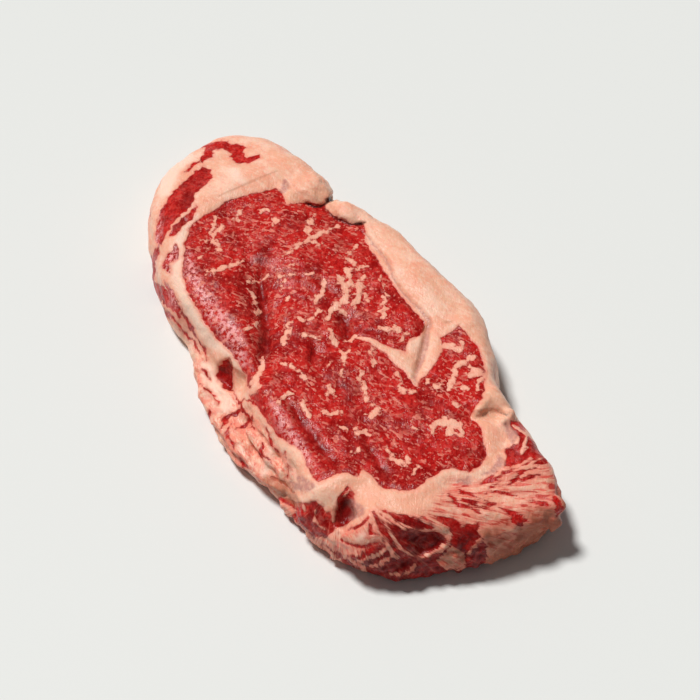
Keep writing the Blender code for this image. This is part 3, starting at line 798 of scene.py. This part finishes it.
def beef_material():
    s = Shade("raw_beef")
    place, fibres_of_tail = s.read("place", vector=True), s.read("fan", vector=True)
    fat, eye, turn, fray = s.read("fat"), s.read("eye"), s.read("turn"), s.read("fray")
    shade_and_dark_lean, side, tail, rosy = s.read("shade_and_dark_lean"), s.read("side"), s.read("tail"), s.read("rosy")
    torn, painted_sheen = s.read("torn"), s.read("painted_sheen")

    # the edge between lean and fat: ragged in the marbling, drawn out in fibres in the tail
    strands = s.noise(s.along(fibres_of_tail, 0, (9.0, 1.3, 9.0)), 1.0, 4.0, 0.62, 0.5)
    edge_noise = s.add(s.blend(tail, s.noise(place, 0.42, 3.0, 0.55), strands), -0.5)
    gain = s.add(s.add(s.mul(fray, 4.2), 1.6), s.mul(tail, 3.0))
    edge = s.add(fat, s.mul(edge_noise, gain))
    is_fat = s.step(edge, -0.3, 0.3)

    # fine marbling: wavy threads, dashes and specks, drawn out along the grain
    far = s.along(place, FAR_GRAIN, (2.7, 1.5, 1.5))
    near = s.along(place, NEAR_GRAIN, (2.5, 1.5, 1.5), (40, 7, 0))
    waves = s.blend(turn, s.noise(far, 0.5, 1.5, 0.5, 0.6), s.noise(near, 0.5, 1.5, 0.5, 0.6))
    thread_gap = s.math("ABSOLUTE", s.add(waves, -0.5))
    presence = s.noise(place, 0.14, 2.0, 0.5)
    threads = s.mul(s.step(thread_gap, 0.015, 0.050, 1.0, 0.0), s.step(presence, 0.50, 0.60))
    ripples = s.blend(turn, s.noise(far, 1.0, 1.0, 0.5, 0.2), s.noise(near, 1.0, 1.0, 0.5, 0.2))
    crowding = s.noise(place, 0.11, 3.0, 0.6, 0.5)
    dashes = s.mul(s.step(ripples, 0.575, 0.64), s.step(crowding, 0.42, 0.58, 0.08, 1.0))
    specks = s.step(s.noise(place, 0.75, 1.5, 0.5), 0.61, 0.68)
    flecks = s.math("MAXIMUM", s.math("MAXIMUM", s.mul(threads, 0.45), dashes), s.mul(specks, 0.75))
    flecks = s.mul(flecks, s.add(s.mul(eye, 0.75), 0.2))
    # fewer flecks show in the painted shade
    flecks = s.mul(flecks, s.step(shade_and_dark_lean, 0.0, 1.0, 1.0, 0.15))

    # lean
    patches = s.noise(place, 0.10, 3.0, 0.55)
    fibres = s.noise(s.along(place, FIBRE_GRAIN, (3.0, 0.6, 1)), 0.8, 2.0, 0.6)
    mottle = s.noise(s.along(place, 0, (1, 1, 1), (9, 30, 5)), 0.32, 3.0, 0.6)
    grain = s.noise(place, 0.95, 3.0, 0.6)
    lean = s.mix(s.step(patches, 0.36, 0.56), LEAN_DEEP, LEAN_RED)
    lean = s.mix(s.mul(s.step(mottle, 0.48, 0.68), 0.40), lean, LEAN_BRIGHT)
    lean = s.mix(s.mul(s.step(mottle, 0.46, 0.34), 0.60), lean, LEAN_DEEP)
    lean = s.mix(s.mul(s.step(fibres, 0.50, 0.70), 0.25), lean, LEAN_BRIGHT)
    lean = s.mix(s.mul(s.step(grain, 0.50, 0.36), 0.65), lean, LEAN_DEEP)
    lean = s.mix(s.mul(s.step(grain, 0.54, 0.68), 0.30), lean, LEAN_BRIGHT)
    # painted sheen on the -Y flank, broken into grains like small glints
    sheen_glints = s.step(s.noise(place, 0.55, 4.0, 0.7), 0.44, 0.58)
    lean = s.mix(s.mul(s.mul(painted_sheen, sheen_glints), 0.9), lean, LEAN_SHEEN)
    lean = s.mix(s.mul(flecks, 0.78), lean, FLECK)
    lean = s.mix(s.mul(s.mul(torn, s.step(strands, 0.44, 0.34)), 0.5), lean, FAT_ROSE)
    # painted shade: the lean darkened in the valleys, the cleft, the corner pits and on the end wall
    lean = s.mix(s.mul(shade_and_dark_lean, s.step(mottle, 0.3, 0.6, 0.85, 0.45)), lean, LEAN_SHADE)

    # fat
    fat_tone = s.noise(s.along(place, 10, (2.0, 0.9, 1)), 0.13, 3.0, 0.6)
    fat_streak = s.noise(s.along(place, 5, (3.2, 0.7, 1)), 0.35, 4.0, 0.65, 0.8)
    blush = s.noise(s.along(place, 0, (1, 1, 1), (3, 50, 8)), 0.09, 3.0, 0.6, 0.5)
    swirl = s.noise(s.along(place, 5, (1.5, 1.0, 0.9)), 0.24, 4.0, 0.68, 2.0)
    vein_noise = s.noise(s.along(place, -12, (2.2, 1, 1)), 0.28, 3.0, 0.6, 1.5)
    veins = s.math("ABSOLUTE", s.add(vein_noise, -0.5))
    fat_colour = s.mix(s.step(fat_tone, 0.35, 0.65), FAT_TAN, FAT_PALE)
    fat_colour = s.mix(s.mul(s.step(blush, 0.44, 0.62), 0.85), fat_colour, FAT_ORANGE)
    streak_share = s.mul(s.step(fat_streak, 0.48, 0.74), s.add(s.mul(side, 0.3), 0.30))
    fat_colour = s.mix(streak_share, fat_colour, FAT_ROSE)
    fat_grain = s.noise(s.along(place, 20, (1.6, 1.0, 1)), 0.8, 3.0, 0.6)
    fat_colour = s.mix(s.mul(s.step(fat_grain, 0.52, 0.70), 0.35), fat_colour, FAT_ROSE)
    fat_colour = s.mix(s.mul(s.step(fat_grain, 0.48, 0.32), 0.40), fat_colour, FAT_CREAM)
    fat_colour = s.mix(s.mul(s.read("band"), 0.6), fat_colour, FAT_ORANGE)
    fat_colour = s.mix(s.mul(rosy, s.step(swirl, 0.44, 0.60, 0.0, 0.85)), fat_colour, FAT_ROSE)
    fat_colour = s.mix(s.mul(s.mul(rosy, s.step(swirl, 0.44, 0.34)), 0.6), fat_colour, FAT_CREAM)
    vein_share = s.mul(s.mul(rosy, s.step(veins, 0.0, 0.035, 1.0, 0.0)), 0.6)
    fat_colour = s.mix(vein_share, fat_colour, LEAN_BRIGHT)
    # cream seams of fat, with the two painted highlights
    fat_colour = s.mix(s.mul(s.read("cream_and_highlight"), 0.85), fat_colour, FAT_CREAM)
    fine_strands = s.noise(s.along(fibres_of_tail, 0, (6.0, 0.7, 6.0)), 1.0, 3.0, 0.6, 0.4)
    fat_colour = s.mix(s.mul(tail, s.step(strands, 0.60, 0.44, 0.15, 0.80)), fat_colour, FAT_ROSE)
    fat_colour = s.mix(s.mul(s.mul(tail, s.step(fine_strands, 0.45, 0.36)), 0.75), fat_colour, LEAN_BRIGHT)
    fat_colour = s.mix(s.mul(s.mul(tail, s.step(strands, 0.44, 0.38)), 0.85), fat_colour, LEAN_RED)
    # painted shade on the lower end wall
    fat_colour = s.mix(s.mul(s.read("end"), s.step(blush, 0.35, 0.6, 0.45, 0.90)), fat_colour, FAT_PAINTED_SHADE)
    fat_colour = s.mix(s.mul(eye, s.step(fat_grain, 0.4, 0.6, 0.95, 0.55)), fat_colour, STREAK_FAT)
    fat_colour = s.mix(s.step(edge, 0.0, 1.4, 0.55, 0.0), fat_colour, FAT_ROSE)

    colour = s.mix(is_fat, lean, fat_colour)
    veil_noise = s.noise(place, 0.7, 2.0, 0.5)
    colour = s.mix(s.mul(s.read("veil"), s.step(veil_noise, 0.3, 0.6, 0.45, 0.90)), colour, VEIL)
    colour = s.mix(s.mul(s.read("brown"), 0.6), colour, BROWN)
    # painted shade: the hollow at the corner darkened
    colour = s.mix(s.mul(s.read("pocket"), 0.8), colour, LEAN_SHADE)
    # painted shade in the cracks
    colour = s.mix(s.read("crack_shade"), colour, HOLE_SHADE)
    s.set(s.surface.inputs["Base Color"], colour)

    # soft uneven wetness
    wet = s.noise(place, 0.22, 3.0, 0.6)
    gloss = s.step(wet, 0.35, 0.68, 0.35, 0.20)
    gloss = s.add(gloss, s.mul(s.add(s.noise(place, 1.3, 2.0, 0.5), -0.5), 0.2))
    gloss = s.math("MAXIMUM", s.add(gloss, s.mul(is_fat, 0.08)), LEAST_ROUGHNESS)
    s.set(s.surface.inputs["Roughness"], gloss)
    s.surface.inputs["Specular IOR Level"].default_value = SPECULAR
    s.surface.inputs["Coat Weight"].default_value = COAT
    s.surface.inputs["Coat Roughness"].default_value = COAT_ROUGHNESS
    s.surface.inputs["Subsurface Weight"].default_value = SUBSURFACE
    s.surface.inputs["Subsurface Radius"].default_value = SUBSURFACE_REACH
    s.surface.inputs["Subsurface Scale"].default_value = SUBSURFACE_SCALE

    # faint bump: the lean's fibres and the edges of the fat
    height = s.add(s.mul(fibres, 0.6), s.mul(s.add(is_fat, flecks), 0.35))
    height = s.add(height, s.mul(s.add(grain, s.mul(mottle, 1.2)), 0.5))
    height = s.add(height, s.mul(s.mul(tail, strands), 1.0))
    height = s.add(height, s.mul(s.mul(is_fat, s.add(fat_streak, fat_grain)), 0.5))
    height = s.add(height, s.mul(s.mul(rosy, swirl), 1.2))
    bump = s.tree.nodes.new("ShaderNodeBump")
    bump.inputs["Strength"].default_value = BUMP_STRENGTH
    bump.inputs["Distance"].default_value = BUMP_DISTANCE
    s.set(bump.inputs["Height"], height)
    s.set(s.surface.inputs["Normal"], bump.outputs["Normal"])
    s.set(s.surface.inputs["Coat Normal"], bump.outputs["Normal"])
    return s.material


# ---- the set ----

CAMERA_TARGET = Vector((7.2, 4.8, 13.4))              # mm, in the places' own frame
CAMERA_BACK = Vector((0.5332, -0.3078, 0.7880))       # from the target to the camera
CAMERA_DISTANCE = 620                    # mm
CAMERA_LENS = 85
KEY_FROM = Vector((-0.44, -0.18, 0.95))
KEY_STRENGTH = 3.3
KEY_SPREAD = 12                          # degrees: how large the lamp looks, for soft shadows
FILL_STRENGTH = 0.13
BACKDROP_STRENGTH = 0.92                 # what the camera sees past the worktop
FLOOR_COLOUR = (0.755, 0.762, 0.735, 1)
FLOOR_HALF = 1.5                         # metres
FLOOR_DROP = -0.2 * MM                   # just under the steak, so that the faces don't meet


def add_camera():
    camera = bpy.data.objects.new("camera", bpy.data.cameras.new("camera"))
    camera.data.lens = CAMERA_LENS
    place = CAMERA_TARGET + CAMERA_BACK * CAMERA_DISTANCE - Vector(CENTRE)
    camera.location = place * MM
    camera.rotation_euler = (-CAMERA_BACK).to_track_quat("-Z", "Y").to_euler()
    bpy.context.scene.collection.objects.link(camera)
    bpy.context.scene.camera = camera


def add_lamp():
    lamp = bpy.data.lights.new("key", "SUN")
    lamp.energy = KEY_STRENGTH
    lamp.angle = np.radians(KEY_SPREAD)
    key = bpy.data.objects.new("key", lamp)
    key.location = KEY_FROM
    key.rotation_euler = (-KEY_FROM).to_track_quat("-Z", "Y").to_euler()
    bpy.context.scene.collection.objects.link(key)


def add_world():
    world = bpy.data.worlds.new("studio")
    world.use_nodes = True
    nodes, links = world.node_tree.nodes, world.node_tree.links
    light = nodes["Background"]
    light.inputs["Color"].default_value = (1, 1, 1, 1)
    path = nodes.new("ShaderNodeLightPath")
    seen = nodes.new("ShaderNodeMix")
    seen.inputs["A"].default_value = FILL_STRENGTH
    seen.inputs["B"].default_value = BACKDROP_STRENGTH
    links.new(path.outputs["Is Camera Ray"], seen.inputs["Factor"])
    links.new(seen.outputs["Result"], light.inputs["Strength"])
    bpy.context.scene.world = world


def add_floor():
    data = bpy.data.meshes.new("worktop")
    signs = ((-1, -1), (1, -1), (1, 1), (-1, 1))
    corners = [(x * FLOOR_HALF, y * FLOOR_HALF, FLOOR_DROP) for x, y in signs]
    data.from_pydata(corners, [], [(0, 1, 2, 3)])
    floor = bpy.data.objects.new("worktop", data)
    bpy.context.scene.collection.objects.link(floor)
    stone = bpy.data.materials.new("worktop")
    stone.use_nodes = True
    shader = stone.node_tree.nodes["Principled BSDF"]
    shader.inputs["Base Color"].default_value = FLOOR_COLOUR
    shader.inputs["Roughness"].default_value = 0.6
    shader.inputs["Specular IOR Level"].default_value = 0.2
    data.materials.append(stone)


bpy.context.scene.view_settings.view_transform = "Standard"
add_camera()
add_lamp()
add_world()
add_floor()

raw_steak = stock_mesh()
relief(raw_steak)
fuse(raw_steak, 1)
write_points(raw_steak.data, settled(read_points(raw_steak.data)))
thin_underside(raw_steak)
mark(raw_steak)
raw_steak.data.materials.clear()
raw_steak.data.materials.append(beef_material())
raw_steak.data.shade_smooth()
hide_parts("steak")
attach(raw_steak, "root")
